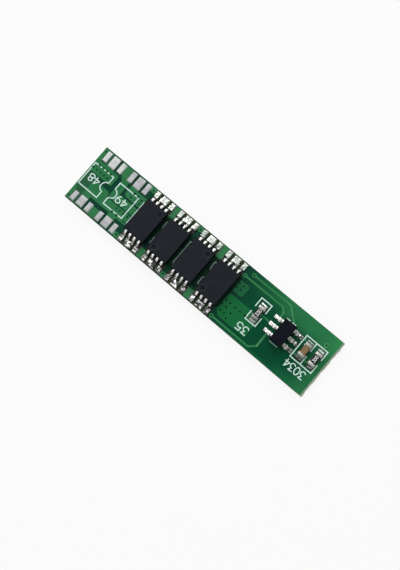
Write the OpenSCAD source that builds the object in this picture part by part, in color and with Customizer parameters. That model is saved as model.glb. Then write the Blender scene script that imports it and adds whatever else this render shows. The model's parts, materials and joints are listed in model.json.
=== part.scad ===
// Battery protection board: a narrow two-layer printed circuit. Four of its six
// power-switch footprints are filled, two stay empty, and a six-lead controller
// with two resistors and a capacitor sits at the far end.
// Millimetres. +X runs from the switch end to the controller end, +Z points out of
// the component side, and the origin is the centre of the underside.

/* [Board] */
// Overall length, from snapped end to snapped end
board_l = 35; // [34.5:0.5:42]
// Overall width
board_w = 7.5; // [7.4:0.1:9]
// Thickness of the glass-epoxy laminate
laminate_t = 0.8; // [0.6:0.1:1.6]
// Thickness of the copper on each side
copper_t = 0.07; // [0.035:0.005:0.105]
// Thickness of the solder mask
mask_t = 0.03; // [0.02:0.005:0.04]
// Thickness of the printed legend
ink_t = 0.02; // [0.015:0.005:0.03]
// Thickness of the tin on bare pads
tin_t = 0.04; // [0.02:0.005:0.06]
// Distance from the long edges to the nearest copper
edge_clear = 0.15; // [0.1:0.01:0.25]
// Distance from a pad to the solder mask round it
mask_gap = 0.04; // [0.02:0.01:0.08]

/* [Edges] */
// Depth of the score left in both faces along every edge
score_d = 0.22; // [0.1:0.02:0.26]
// Width of the score along the long edges and the switch end
side_score_w = 0.04; // [0.03:0.01:0.1]
// Width of the score at the controller end
end_score_w = 0.18; // [0.1:0.02:0.3]
// How far the snapped web is ragged in and out
snap_rag = 0.1; // [0.02:0.02:0.14]
// Distance from the scores to the solder mask
mask_back = 0.01; // [0.01:0.01:0.1]

/* [Vias] */
// Drilled diameter of a via
via_drill = 0.3; // [0.25:0.01:0.34]
// Wall of the plating inside a via
via_wall = 0.045; // [0.025:0.005:0.06]
// Width of the copper ring round a via
via_ring = 0.09; // [0.07:0.01:0.14]

/* [Switch footprints] */
// Distance from the switch end to the first footprint
first_site = 2.05; // [2.05:0.05:2.4]
// Pitch of the six footprints
site_pitch = 3.6; // [3.55:0.05:3.7]
// Width of the four outer pads of a footprint
outer_pad_w = 0.64; // [0.5:0.02:0.7]
// Width of the two middle pads, which take two leads each
inner_pad_w = 0.98; // [0.94:0.02:1.1]
// Distance from the footprint's centre to its outer pads
outer_pad_x = 1.1; // [1.06:0.02:1.16]
// Distance from the centre line to the inner ends of the outer pads
outer_pad_in = 2.3; // [2.28:0.01:2.4]
// Distance from the centre line to the inner ends of the middle pads
inner_pad_in = 2.24; // [2.2:0.01:2.28]
// How far the inner ends of both rows of pads lie off the centre line
footprint_y = -0.07; // [-0.1:0.01:0.1]

/* [Switch package] */
// Length of the moulded body along its rows of leads
mosfet_d = 2.95; // [2.8:0.05:3.1]
// Width of the moulded body across the rows
mosfet_e = 4.4; // [4.2:0.05:4.5]
// Height of the moulded body
mosfet_h = 1; // [0.8:0.05:1.05]
// Width over the toes of the leads
mosfet_span = 6.4; // [6.2:0.05:6.6]
// Pitch of the leads
mosfet_pitch = 0.65; // [0.65:0.01:0.66]
// Width of a lead
mosfet_lead_w = 0.3; // [0.19:0.01:0.3]
// Length of a lead's level shoulder outside the body
mosfet_shoulder = 0.2; // [0.02:0.02:0.24]

/* [Controller package] */
// Length of the moulded body along its rows of leads
ic_d = 2.9; // [2.8:0.05:3]
// Width of the moulded body across the rows
ic_e = 1.6; // [1.5:0.05:1.7]
// Height of the moulded body
ic_h = 1.1; // [0.9:0.05:1.15]
// Width over the toes of the leads
ic_span = 2.8; // [2.7:0.05:3]
// Pitch of the leads
ic_pitch = 0.95; // [0.93:0.01:0.97]
// Width of a lead
ic_lead_w = 0.4; // [0.3:0.01:0.44]
// Length of a lead's level shoulder outside the body
ic_shoulder = 0.02; // [0.02:0.02:0.1]
// Width of a pad
ic_pad_w = 0.52; // [0.46:0.02:0.6]
// Distance from the package centre to the outer ends of its pads
ic_pad_out = 1.95; // [1.8:0.05:2]
// Distance from the package centre to the inner ends of its pads
ic_pad_in = 0.95; // [0.85:0.05:1]

/* [Leads and joints] */
// Thickness of the lead metal
lead_t = 0.15; // [0.1:0.01:0.2]
// Radius of the lead bends at mid thickness
bend_r = 0.13; // [0.11:0.01:0.15]
// Slope of the leg between the two bends
leg_slope = 76; // [70:1:82]
// How far the leads reach into the moulding
lead_root = 0.35; // [0.2:0.05:0.5]
// Clearance between a moulded body and the plane of its feet
standoff = 0.08; // [0.05:0.01:0.14]
// Draft of the moulded sides, measured at the top face
draft = 0.08; // [0.03:0.01:0.12]
// Diameter of the dimple that marks the first lead
dimple_d = 0.6; // [0.4:0.05:0.7]
// Depth of that dimple
dimple_t = 0.07; // [0.02:0.01:0.1]
// Film of solder under a foot or a chip
film_t = 0.03; // [0.02:0.01:0.06]
// Height of the solder at a lead's toe, above the pad
toe_solder_h = 0.24; // [0.22:0.01:0.3]
// Height of the solder at the outer end of a pad
rim_solder_h = 0.08; // [0.05:0.01:0.12]
// Distance from a pad's edge to its solder
solder_back = 0.01; // [0.01:0.01:0.04]
// Height of the crown of solder over a middle pad
inner_crown = 0.34; // [0.3:0.01:0.4]
// Height of the crown of solder over an outer pad
outer_crown = 0.3; // [0.28:0.01:0.34]

/* [Chip parts] */
// Length of a chip part
chip_l = 1.6; // [1.5:0.05:1.7]
// Width of a chip part
chip_w = 0.8; // [0.7:0.05:0.85]
// Height of a resistor's ceramic with its caps
resistor_h = 0.45; // [0.35:0.05:0.55]
// Height of the capacitor
capacitor_h = 0.8; // [0.6:0.05:0.9]
// Length of the metal cap at each end of a chip
cap_l = 0.3; // [0.2:0.05:0.35]
// Thickness of that metal cap
cap_t = 0.04; // [0.03:0.01:0.05]
// Thickness of a resistor's glass coat
coat_t = 0.04; // [0.03:0.01:0.05]
// Width of a chip's pads
chip_pad_w = 0.84; // [0.8:0.02:0.9]
// Distance from a chip's centre to the outer ends of its pads
chip_pad_out = 1.22; // [1.1:0.02:1.26]
// Distance from a chip's centre to the inner ends of its pads
chip_pad_in = 0.45; // [0.35:0.05:0.5]

/* [Controller end] */
// Distance from the controller end to the controller
ic_from_end = 5.88; // [5.8:0.02:6]
// Distance from the controller end to the sense resistor
sense_from_end = 9.35; // [9.3:0.05:9.6]
// Distance from the controller end to the capacitor
cap_from_end = 2.95; // [2.9:0.05:3.05]
// Distance from the controller end to the supply resistor
supply_from_end = 1.48; // [1.46:0.02:1.56]
// Height of this group above the board's centre line
end_group_y = 0.33; // [0.2:0.01:0.4]
// How much lower the sense resistor's pads lie
sense_drop = 0.08; // [0:0.01:0.12]
// How much lower the controller's pads lie
ic_drop = 0.06; // [0:0.01:0.12]

/* [Copper and print] */
// Width of a signal track
track_w = 0.18; // [0.15:0.01:0.3]
// Width of the tracks to the chip parts
fine_track_w = 0.16; // [0.12:0.01:0.25]
// Length of an output pad on the underside
output_pad_l = 4; // [3:0.1:4.4]
// Width of an output pad on the underside
output_pad_w = 5.4; // [4:0.1:5.6]
// Distance from the output pads to the long edges of their pours
pour_margin = 0.12; // [0.08:0.02:0.2]
// Bare gap between two pours on the underside
pour_gap = 0.26; // [0.2:0.02:0.4]
// Width of a printed line
ink_w = 0.13; // [0.1:0.01:0.16]
// Radius of the notch drawn in a switch outline
notch_r = 0.6; // [0.4:0.05:0.7]
// Distance from a footprint's centre line to the long sides of its outline
outline_y = 1.51; // [1.4:0.01:1.6]
// Distance from the controller group's centre line to the frames round its chips
frame_y = 1.46; // [1.42:0.01:1.5]
// Width of the gap left in the side of such a frame
frame_gap = 0.6; // [0.4:0.1:0.8]

/* [Hidden] */
$fn = 32;
eps = 0.01;

// Heights of the layers, from the plane that the underside's pads rest on
under_z = max(tin_t, mask_t);
laminate_z = under_z + copper_t;
top_z = laminate_z + laminate_t;
pad_z = top_z + copper_t;
foot_z = pad_z + film_t;

// The six footprints: small steps away from an even pitch
site_step = [0, 0.23, 0.25, 0.15, 0.03, 0.05];
SITES = [0:5];
function site_x(i) = -board_l / 2 + first_site + i * site_pitch + site_step[i];
function end_x(d) = board_l / 2 - d;

// Where each package lies on its footprint: step along, step across, twist in degrees
first_filled = 2;
mosfet_lay = [[-0.06, 0.02, -0.4], [-0.07, -0.09, 0.1], [0, 0.05, -0.5], [0, -0.09, -0.4]];
ic_lay = [0, 0, 0];
sense_lay = [0, 0, 1.5];
supply_lay = [0, 0, -0.5];
capacitor_lay = [0, 0.05, 0];

// Pours between the rows of pads: lower, middle and upper bus, each from y to y
bus_low = [-1.9, -0.72];
bus_mid = [-0.52, 0.42];
bus_top = [0.72, 1.98];
// Pour with the vias at the switch end, from y to y, and the copper column beside it
first_pour_low = 0.52;
first_pour_top = 1.98;
column = [site_x(1) - 1.78, site_x(1) - 0.92];
// How far copper runs over the edge of what it joins
link_in = 0.2;
// Land with four vias at the end of the upper bus, from y to y
quad_land = [0.35, 1.82];
quad_land_l = 1.35;
// Where the buses end, below the last package
bus_end = site_x(5) + 1.3;
// Where the broad pour behind the last switch starts and ends
pour_start = site_x(5) + 1.72;
pour_end = end_x(sense_from_end) + 0.5;
pour_low = -2.83;
pour_top = -0.07;
// Printed lines: ends of a switch outline, sides of the frames, lines by the controller
outline_x = [-1.73, 1.06];
sense_frame = [-0.76, 0.66];
end_frames = [-1.54, -0.16, 1.33];
ic_line_y = 1.49;
// Distance from an opening in the mask to the print
ink_back = 0.01;
// Tracks beside the long edges
high_track_y = board_w / 2 - 0.59;
low_track_y = -board_w / 2 + 0.44;
sense_track_y = high_track_y - 0.67;
corner_via_x = [-1.63, -1.78, -1.75];
corner_via_y = board_w / 2 - 0.51;
corner_land_w = 0.55;

// Distance of a dimple from both sides of its body
dimple_back = 0.67;
ic_dimple_back = 0.4;
// Length of foot that the solder rises to from its inner end
mosfet_foot = 0.44;
ic_foot = 0.36;
// Height of the solder over a foot, and what it laps over the toe
foot_cover = 0.05;
toe_lap = 0.05;
// Share of a chip's height that its solder climbs
climb = 0.66;

// ---- Small plan shapes, each widened by grow on every side ----

// Rectangle between two corners
module bar(x0, y0, x1, y1, grow = 0) {
    translate([x0 - grow, y0 - grow]) square([x1 - x0 + 2 * grow, y1 - y0 + 2 * grow]);
}

// The same with round corners
module soft_bar(x0, y0, x1, y1, r, grow = 0) {
    bar(x0 + r, y0, x1 - r, y1, grow);
    bar(x0, y0 + r, x1, y1 - r, grow);
    for (x = [x0 + r, x1 - r], y = [y0 + r, y1 - r]) translate([x, y]) circle(r + grow);
}

// Track with round ends and corners through a list of points
module track(points, w, grow = 0) {
    for (k = [0:len(points) - 2]) {
        run = points[k + 1] - points[k];
        translate(points[k]) rotate(atan2(run.y, run.x))
            translate([0, -w / 2 - grow]) square([norm(run), w + 2 * grow]);
    }
    for (p = points) translate(p) circle(w / 2 + grow);
}

module at_site(i) translate([site_x(i), 0]) children();

// ---- Places of the vias ----

function row(x, y, count, pitch) = [for (k = [0:count - 1]) [x + k * pitch, y]];

corner_vias = [for (k = [0:2], s = [-1, 1])
    [site_x(2 * k) + corner_via_x[k], s * corner_via_y]];
gate_vias = [[pour_start + 0.84, high_track_y], [pour_start + 0.06, low_track_y]];
sense_via = [pour_start + 0.05, sense_track_y];
supply_via = [end_x(supply_from_end), end_group_y + 1.96];
pour_vias = concat(
    row(site_x(0) - 1.58, 0.95, 5, 0.54),
    row(site_x(0) - 1.12, 1.62, 4, 0.56),
    row(site_x(1) + 0.37, 1.66, 2, 0.55),
    row(site_x(1) + 0.33, 1.02, 1, 0),
    row(site_x(1) + 1.5, 1.48, 1, 0),
    row(site_x(1) + 1.52, 1.02, 1, 0),
    row(site_x(1) - 0.15, -0.97, 3, 0.5),
    row(site_x(1) - 0.3, -1.65, 2, 0.67),
    row(site_x(1) + 1.5, -0.97, 1, 0),
    row(site_x(1) + 1.5, -1.66, 1, 0),
    row(pour_start + 0.14, 1.48, 2, 0.59),
    row(pour_start + 0.14, 0.92, 2, 0.56),
    row(pour_start + 0.23, -0.93, 2, 0.55),
    row(pour_start + 1.53, -0.95, 3, 0.67),
    row(pour_start + 0.13, -1.52, 2, 0.56),
    row(pour_start + 1.52, -1.77, 1, 0),
    row(pour_start + 0.44, -2.19, 2, 0.52),
    row(pour_start + 1.48, -2.53, 1, 0)
);
VIAS = concat(corner_vias, gate_vias, [sense_via, supply_via], pour_vias);

module via_discs(d) for (p = VIAS) translate(p) circle(d = d);

// ---- Copper, component side ----

// The six pads of a switch footprint
module site_pads(grow = 0) {
    out = board_w / 2 - edge_clear;
    for (s = [-1, 1]) scale([1, s]) {
        lift = s * footprint_y;
        bar(-inner_pad_w / 2, inner_pad_in + lift, inner_pad_w / 2, out, grow);
        for (x = [-outer_pad_x, outer_pad_x])
            bar(x - outer_pad_w / 2, outer_pad_in + lift, x + outer_pad_w / 2, out, grow);
    }
}

// The two pads of a chip part that lies across the board
module chip_pads(grow = 0) {
    for (s = [-1, 1]) scale([1, s])
        bar(-chip_pad_w / 2, chip_pad_in, chip_pad_w / 2, chip_pad_out, grow);
}

module ic_pads(grow = 0) {
    for (s = [-1, 1], k = [-1:1]) scale([s, 1])
        bar(ic_pad_in, k * ic_pitch - ic_pad_w / 2, ic_pad_out, k * ic_pitch + ic_pad_w / 2, grow);
}

function end_y(d) = end_group_y - (d == sense_from_end ? sense_drop : d == ic_from_end ? ic_drop : 0);
module at_end_part(d) translate([end_x(d), end_y(d)]) children();

// Every pad that the mask leaves open
module empty_site_pads(grow = 0) {
    for (i = SITES) if (i < first_filled) at_site(i) site_pads(grow);
}

module filled_pads(grow = 0) {
    for (i = SITES) if (i >= first_filled) at_site(i) site_pads(grow);
    for (d = [sense_from_end, cap_from_end, supply_from_end]) at_end_part(d) chip_pads(grow);
    at_end_part(ic_from_end) ic_pads(grow);
}

// Copper between neighbouring footprints: a strip joins the pads of each pair,
// and a corner land with a via stands before each pair
module site_links(grow = 0) {
    out = board_w / 2 - edge_clear;
    for (i = [0, 2, 4], s = [-1, 1]) scale([1, s]) {
        strip_in = s > 0 && i > 0 ? bus_top[1] - link_in : outer_pad_in + link_in;
        bar(site_x(i) + outer_pad_x, strip_in, site_x(i + 1) - outer_pad_x, out, grow);
        start = i == 0 ? -board_l / 2 + edge_clear : site_x(i - 1) + outer_pad_x;
        bar(start, out - corner_land_w, site_x(i) - outer_pad_x, out, grow);
    }
}

// The three buses below the packages, joined to the middle pads
module buses(grow = 0) {
    bar(site_x(1) - 1.8, bus_low[0], pour_start + link_in, bus_low[1], grow);
    bar(column[0], bus_mid[0], bus_end, bus_mid[1], grow);
    soft_bar(site_x(1) - inner_pad_w / 2, bus_top[0], bus_end, bus_top[1], 0.4, grow);
    bar(bus_end - 1, bus_top[0], pour_start, quad_land[1], grow);
    soft_bar(pour_start - 0.1, quad_land[0], pour_start + quad_land_l, quad_land[1], 0.3, grow);
    for (i = SITES) {
        bar(site_x(i) - inner_pad_w / 2, bus_top[1] - 0.4, site_x(i) + inner_pad_w / 2,
            inner_pad_in + link_in, grow);
        bar(site_x(i) - inner_pad_w / 2, -inner_pad_in - link_in, site_x(i) + inner_pad_w / 2,
            bus_low[0] + 0.4, grow);
    }
}

// Pours round the two empty footprints at the switch end
module switch_end_pours(grow = 0) {
    edge = -board_l / 2 + edge_clear;
    bar(edge, -board_w / 2 + edge_clear, edge + 0.2, board_w / 2 - edge_clear, grow);
    for (s = [-1, 1]) scale([1, s])
        bar(edge, first_pour_top, edge + 0.42, board_w / 2 - edge_clear, grow);
    soft_bar(edge, first_pour_low, column[0] - 0.6, first_pour_top, 0.2, grow);
    soft_bar(site_x(0) - inner_pad_w / 2, bus_low[0], column[0] - 0.15, -0.14, 0.4, grow);
    bar(column[0] - 0.6, bus_low[0], column[0] + 0.5, bus_low[1], grow);
    // Column that falls from the strip between the footprints to the middle bus
    neck = [site_x(0) + outer_pad_x + 0.36, 2.42];
    g = grow;
    polygon([
        [column[0] - g, bus_mid[0] - g], [column[1] + g, bus_mid[0] - g],
        [column[1] + g, outer_pad_in + 2 * link_in], [neck.x - g, outer_pad_in + 2 * link_in],
        [neck.x - g, neck.y - 0.4 * g], [column[0] - g, neck.y - (column[0] - neck.x) - 0.4 * g]
    ]);
}

// Broad pour behind the last switch, with one corner cut off
module end_pour(grow = 0) {
    cut = 0.55;
    r = grow * tan(22.5);
    polygon([
        [pour_start - grow, pour_top + grow], [pour_end + grow, pour_top + grow],
        [pour_end + grow, pour_low - grow], [pour_start + cut - r, pour_low - grow],
        [pour_start - grow, pour_low + cut - r]
    ]);
}

// Signal tracks at the controller end
module end_tracks(grow = 0) {
    ic = [end_x(ic_from_end), end_y(ic_from_end)];
    pad_x = (ic_pad_in + ic_pad_out) / 2 - track_w / 2;
    low_left = ic + [-pad_x, -ic_pitch];
    top_left = ic + [-pad_x, ic_pitch];
    high_bend = [1.45, 1.25];
    sense_bend = [0.45, 0.5];
    low_bend = [0.65, 0.6];
    mid_x = ic.x + track_w;
    track([gate_vias[0], [mid_x - high_bend.x, high_track_y], [mid_x, high_track_y - high_bend.y],
        [mid_x, ic.y], ic + [pad_x, 0]], track_w, grow);
    track([sense_via, [top_left.x - sense_bend.x, sense_track_y],
        [top_left.x, sense_track_y - sense_bend.y], top_left], track_w, grow);
    track([gate_vias[1], [low_left.x - low_bend.x, low_track_y],
        [low_left.x, low_track_y + low_bend.y], low_left], track_w, grow);
    chip = (chip_pad_in + chip_pad_out) / 2;
    sense = [end_x(sense_from_end), end_y(sense_from_end)];
    track([sense + [0, chip], [sense.x, ic.y], ic + [-pad_x, 0]], fine_track_w, grow);
    cap = [end_x(cap_from_end), end_group_y];
    supply = [end_x(supply_from_end), end_group_y];
    track([ic + [pad_x, ic_pitch], cap + [0, ic_pitch]], fine_track_w, grow);
    track([ic + [pad_x, -ic_pitch], cap + [0, -ic_pitch]], fine_track_w, grow);
    track([cap + [0, -chip], supply + [0, -chip]], fine_track_w, grow);
    track([supply + [0, chip], supply_via], fine_track_w, grow);
}

module top_copper_plan(grow = 0) {
    empty_site_pads(grow);
    filled_pads(grow);
    site_links(grow);
    buses(grow);
    switch_end_pours(grow);
    end_pour(grow);
    end_tracks(grow);
    via_discs(via_drill + 2 * via_ring + 2 * grow);
}

// ---- Copper, underside ----

output_pad_x = [site_x(2) + 1.75, site_x(4) + 1.3, end_x(5)];

module output_pads(grow = 0) {
    for (x = output_pad_x)
        bar(x - output_pad_l / 2, -output_pad_w / 2, x + output_pad_l / 2, output_pad_w / 2, grow);
}

module bottom_copper_plan(grow = 0) {
    half = output_pad_w / 2 + pour_margin;
    gap = pour_gap / 2;
    bounds = [
        -board_l / 2 + edge_clear, (output_pad_x[0] + output_pad_x[1]) / 2,
        (output_pad_x[1] + output_pad_x[2]) / 2, board_l / 2 - 2 * pour_gap
    ];
    for (k = [0:2]) soft_bar(bounds[k] + gap, -half, bounds[k + 1] - gap, half, 0.2, grow);
    track([corner_vias[1], gate_vias[0]], fine_track_w, grow);
    track([corner_vias[0], gate_vias[1]], fine_track_w, grow);
    via_discs(via_drill + 2 * via_ring + 2 * grow);
}

// ---- Outlines of the board ----

// Ragged snapped end: how far the web falls short of the full length at y
function rag(y) = snap_rag * (0.5 - 0.3 * sin(y * 170) - 0.2 * sin(y * 410 + 40));
rag_step = board_w / 30;

module board_plan() {
    w = board_w / 2;
    right_edge = [for (k = [0:30]) let (y = -w + k * rag_step) [board_l / 2 - rag(y), y]];
    left_edge = [for (k = [0:30]) let (y = w - k * rag_step) [-board_l / 2 + rag(y) / 2, y]];
    polygon(concat(right_edge, left_edge));
}

// Flat of a face inside the scores, drawn back by a margin
module face_plan(back = 0) {
    bar(-board_l / 2 + snap_rag / 2 + side_score_w + back, -board_w / 2 + side_score_w + back,
        board_l / 2 - snap_rag - end_score_w - back, board_w / 2 - side_score_w - back);
}

// ---- Board layers ----

// Wedge cut away along one edge of a face; the edge runs along Y at x = 0
module score_wedge(w) {
    rotate([90, 0, 0]) linear_extrude(board_l + board_w, center = true)
        polygon([[-w, 0], [-w, eps], [1, eps], [1, -score_d], [0, -score_d]]);
}

module scores_on_face() {
    translate([board_l / 2 - snap_rag, 0]) score_wedge(end_score_w);
    translate([-board_l / 2 + snap_rag / 2, 0]) mirror([1, 0, 0]) score_wedge(side_score_w);
    for (s = [-1, 1])
        translate([0, s * board_w / 2]) rotate(s * 90) score_wedge(side_score_w);
}

module laminate() {
    color("darkkhaki") difference() {
        translate([0, 0, laminate_z]) linear_extrude(laminate_t) board_plan();
        translate([0, 0, top_z]) scores_on_face();
        translate([0, 0, laminate_z]) mirror([0, 0, 1]) scores_on_face();
        translate([0, 0, laminate_z - eps]) linear_extrude(laminate_t + 2 * eps)
            via_discs(via_drill);
    }
}

module top_copper() {
    color("peru") translate([0, 0, top_z]) linear_extrude(copper_t) difference() {
        top_copper_plan();
        via_discs(via_drill);
    }
}

module bottom_copper() {
    color("peru") translate([0, 0, under_z]) linear_extrude(copper_t) difference() {
        bottom_copper_plan();
        via_discs(via_drill);
    }
}

module via_barrels() {
    color("silver") translate([0, 0, under_z])
        linear_extrude(laminate_t + 2 * copper_t) difference() {
            via_discs(via_drill);
            via_discs(via_drill - 2 * via_wall);
        }
}

module top_mask() {
    color("darkgreen") difference() {
        translate([0, 0, top_z]) {
            linear_extrude(mask_t) face_plan(mask_back);
            linear_extrude(copper_t + mask_t) top_copper_plan(mask_t);
        }
        translate([0, 0, top_z - eps]) {
            linear_extrude(copper_t + eps) top_copper_plan();
            linear_extrude(copper_t + mask_t + 2 * eps) {
                empty_site_pads(mask_gap);
                filled_pads(mask_gap);
                via_discs(via_drill - 2 * via_wall);
            }
        }
    }
}

// It closes the vias from below, outside the output pads
module bottom_mask() {
    color("darkgreen") difference() {
        union() {
            translate([0, 0, laminate_z - mask_t]) linear_extrude(mask_t) face_plan(mask_back);
            translate([0, 0, under_z - mask_t])
                linear_extrude(copper_t + mask_t) bottom_copper_plan(mask_t);
        }
        translate([0, 0, under_z]) linear_extrude(copper_t + eps) bottom_copper_plan();
        translate([0, 0, under_z - mask_t - eps])
            linear_extrude(copper_t + mask_t + 2 * eps) output_pads(mask_gap);
    }
}

// ---- Printed legend ----

// Outline of a switch, notched at its first-lead end
module switch_outline(notch_side) {
    notch_x = notch_side < 0 ? outline_x[0] : outline_x[1];
    difference() {
        bar(outline_x[0], -outline_y, outline_x[1], outline_y, ink_w / 2);
        bar(outline_x[0], -outline_y, outline_x[1], outline_y, -ink_w / 2);
        translate([notch_x, 0]) circle(notch_r);
    }
    difference() {
        translate([notch_x, 0]) circle(notch_r + ink_w / 2);
        translate([notch_x, 0]) circle(notch_r - ink_w / 2);
        translate([notch_x + notch_side, 0]) square([2, 4], center = true);
    }
}

// Rectangle of printed lines with a gap in the chosen sides
module chip_frame(x0, x1, gap_left, gap_right) {
    difference() {
        bar(x0, -frame_y, x1, frame_y, ink_w / 2);
        bar(x0, -frame_y, x1, frame_y, -ink_w / 2);
        if (gap_left) bar(x0 - ink_w, -frame_gap / 2, x0 + ink_w, frame_gap / 2);
        if (gap_right) bar(x1 - ink_w, -frame_gap / 2, x1 + ink_w, frame_gap / 2);
    }
}

module legend_plan() {
    for (i = SITES) at_site(i) switch_outline(i % 2 == 0 ? 1 : -1);
    translate([end_x(sense_from_end), end_group_y])
        chip_frame(sense_frame[0], sense_frame[1], true, true);
    at_end_part((cap_from_end + supply_from_end) / 2) {
        chip_frame(end_frames[0], end_frames[1], false, true);
        chip_frame(end_frames[1], end_frames[2], true, true);
    }
    at_end_part(ic_from_end) {
        bar(-0.71, ic_line_y, -0.25, ic_line_y + ink_w);
        bar(0.04, ic_line_y, 0.56, ic_line_y + ink_w);
        bar(-0.63, -ic_line_y - ink_w, 0.46, -ic_line_y - ink_w / 2);
    }
}

// The print skips the pads and the mouths of the vias
module legend_area() {
    difference() {
        legend_plan();
        via_discs(via_drill + via_ring);
        filled_pads(mask_gap + ink_back);
        empty_site_pads(mask_gap + ink_back);
    }
}

module top_legend() {
    color("mintcream") {
        translate([0, 0, pad_z + mask_t]) linear_extrude(ink_t) intersection() {
            legend_area();
            top_copper_plan(mask_t);
        }
        translate([0, 0, top_z + mask_t]) linear_extrude(ink_t) difference() {
            legend_area();
            top_copper_plan(mask_t);
        }
    }
}

// ---- Tinned pads ----

module empty_pad_tinning() {
    color("silver") translate([0, 0, pad_z]) linear_extrude(tin_t) empty_site_pads(-solder_back);
}

module output_pad_tinning() {
    color("silver") translate([0, 0, under_z - tin_t]) linear_extrude(tin_t) difference() {
        output_pads(-solder_back);
        via_discs(via_drill);
    }
}

// ---- Gull-wing leads ----
// Sections lie in a plane whose first axis points away from the package and whose
// second is height above the underside of the feet.

// Arc through n + 1 points about c; a is measured from the second axis
function bend(c, r, a0, a1, n = 6) =
    [for (k = [0:n]) let (a = a0 + (a1 - a0) * k / n) c + r * [sin(a), cos(a)]];

// Outline of a lead from its root in the body, over a level run, to its toe
function gull_section(exit, run, toe, shoulder_z) =
    let (
        root = exit - lead_root,
        foot = lead_t / 2,
        drop = shoulder_z - foot - 2 * bend_r * (1 - cos(leg_slope)),
        high = [exit + run, shoulder_z - bend_r],
        low = [high.x + 2 * bend_r * sin(leg_slope) + drop / tan(leg_slope), foot + bend_r],
        thick = bend_r + lead_t / 2,
        thin = bend_r - lead_t / 2
    )
    concat(
        [[root, shoulder_z + lead_t / 2]],
        bend(high, thick, 0, leg_slope),
        bend(low, thin, 180 + leg_slope, 180),
        [[toe, lead_t], [toe, 0]],
        bend(low, thick, 180, 180 + leg_slope),
        bend(high, thin, leg_slope, 0),
        [[root, shoulder_z - lead_t / 2]]
    );

// Section in the Y-Z plane drawn out along X, centred
module drawn_across(w) {
    rotate([90, 0, 90]) linear_extrude(w, center = true) children();
}

// Leads in two rows along X
module lead_rows(e, run, span, h, pitch, per_side, w) {
    for (s = [-1, 1], k = [0:per_side - 1]) {
        x = (k - (per_side - 1) / 2) * pitch;
        mirror([0, s < 0 ? 1 : 0, 0]) translate([x, 0, 0]) drawn_across(w)
            polygon(gull_section(e / 2, run, span / 2, standoff + h / 2));
    }
}

// Moulded body with drafted sides above and below the parting line, to be cut by its leads
module moulded_body(d, e, h, dimple_at) {
    function side(w) = [
        [-w / 2 + draft, 0], [w / 2 - draft, 0], [w / 2, h / 2],
        [w / 2 - draft, h], [-w / 2 + draft, h], [-w / 2, h / 2]
    ];
    difference() {
        translate([0, 0, standoff]) intersection() {
            rotate([90, 0, 0]) linear_extrude(e, center = true) polygon(side(d));
            rotate([90, 0, 90]) linear_extrude(d, center = true) polygon(side(e));
        }
        translate([dimple_at.x, dimple_at.y, standoff + h - dimple_t])
            cylinder(d = dimple_d, h = dimple_t + eps);
    }
}

// Concave fall of solder from p to q, steep first
function fillet(p, q, n = 6) =
    [for (k = [0:n]) let (a = 90 * k / n)
        [p.x + (q.x - p.x) * (1 - cos(a)), p.y + (q.y - p.y) * sin(a)]];

// Solder on one pad of width w that runs from y0 to y1, crowned over the pad's width and
// shaped by the section; to be cut by what it holds. Heights count from the pad.
module solder_on_pad(w, y0, y1, crown, section) {
    r = (w * w / 4 + crown * crown) / (2 * crown);
    intersection() {
        drawn_across(w) polygon(section);
        translate([0, y0 - 1, crown - r]) rotate([-90, 0, 0]) cylinder(r = r, h = y1 - y0 + 2);
    }
}

// Section of the solder round a foot, from the pad's inner to its outer end
function joint_section(y0, heel, toe, y1) =
    let (top = film_t + lead_t + foot_cover)
    concat(
        [[y0, 0], [y0, rim_solder_h / 2], [heel, top], [toe - 2 * toe_lap, top],
            [toe + toe_lap / 2, toe_solder_h]],
        fillet([toe + toe_lap, toe_solder_h - eps], [y1, rim_solder_h]),
        [[y1, 0]]
    );

// ---- Power switches ----

// Odd positions are turned end for end
module at_mosfet(k) {
    lay = mosfet_lay[k - 1];
    translate([site_x(first_filled + k - 1) + lay[0], lay[1], foot_z])
        rotate(lay[2] + (k % 2 == 0 ? 0 : 180)) children();
}

module mosfet_lead_set() {
    lead_rows(mosfet_e, mosfet_shoulder, mosfet_span, mosfet_h, mosfet_pitch, 4, mosfet_lead_w);
}

module mosfet_body(k) {
    color([0.14, 0.15, 0.18]) at_mosfet(k) difference() {
        moulded_body(mosfet_d, mosfet_e, mosfet_h,
            [dimple_back - mosfet_d / 2, dimple_back - mosfet_e / 2]);
        mosfet_lead_set();
    }
}

module mosfet_leads(k) {
    color("gainsboro") at_mosfet(k) mosfet_lead_set();
}

module mosfet_solder(k) {
    out = board_w / 2 - edge_clear - solder_back;
    heel = mosfet_span / 2 - mosfet_foot;
    toe = mosfet_span / 2;
    color("silver") difference() {
        at_site(first_filled + k - 1) for (s = [-1, 1]) scale([1, s, 1]) translate([0, 0, pad_z]) {
            inner = inner_pad_in + s * footprint_y + solder_back;
            outer = outer_pad_in + s * footprint_y + solder_back;
            solder_on_pad(inner_pad_w - 2 * solder_back, inner, out, inner_crown,
                joint_section(inner, heel, toe, out));
            for (x = [-outer_pad_x, outer_pad_x]) translate([x, 0, 0])
                solder_on_pad(outer_pad_w - 2 * solder_back, outer, out, outer_crown,
                    joint_section(outer, heel, toe, out));
        }
        at_mosfet(k) mosfet_lead_set();
    }
}

// ---- Controller: its rows run across the board ----

module at_control_ic() {
    translate([end_x(ic_from_end) + ic_lay[0], end_y(ic_from_end) + ic_lay[1], foot_z])
        rotate(90 + ic_lay[2]) children();
}

module control_ic_lead_set() {
    lead_rows(ic_e, ic_shoulder, ic_span, ic_h, ic_pitch, 3, ic_lead_w);
}

module control_ic_body() {
    color([0.1, 0.1, 0.14]) at_control_ic() difference() {
        moulded_body(ic_d, ic_e, ic_h, [ic_d / 2 - ic_dimple_back, ic_e / 2 - ic_dimple_back]);
        control_ic_lead_set();
    }
}

module control_ic_leads() {
    color("gainsboro") at_control_ic() control_ic_lead_set();
}

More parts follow.
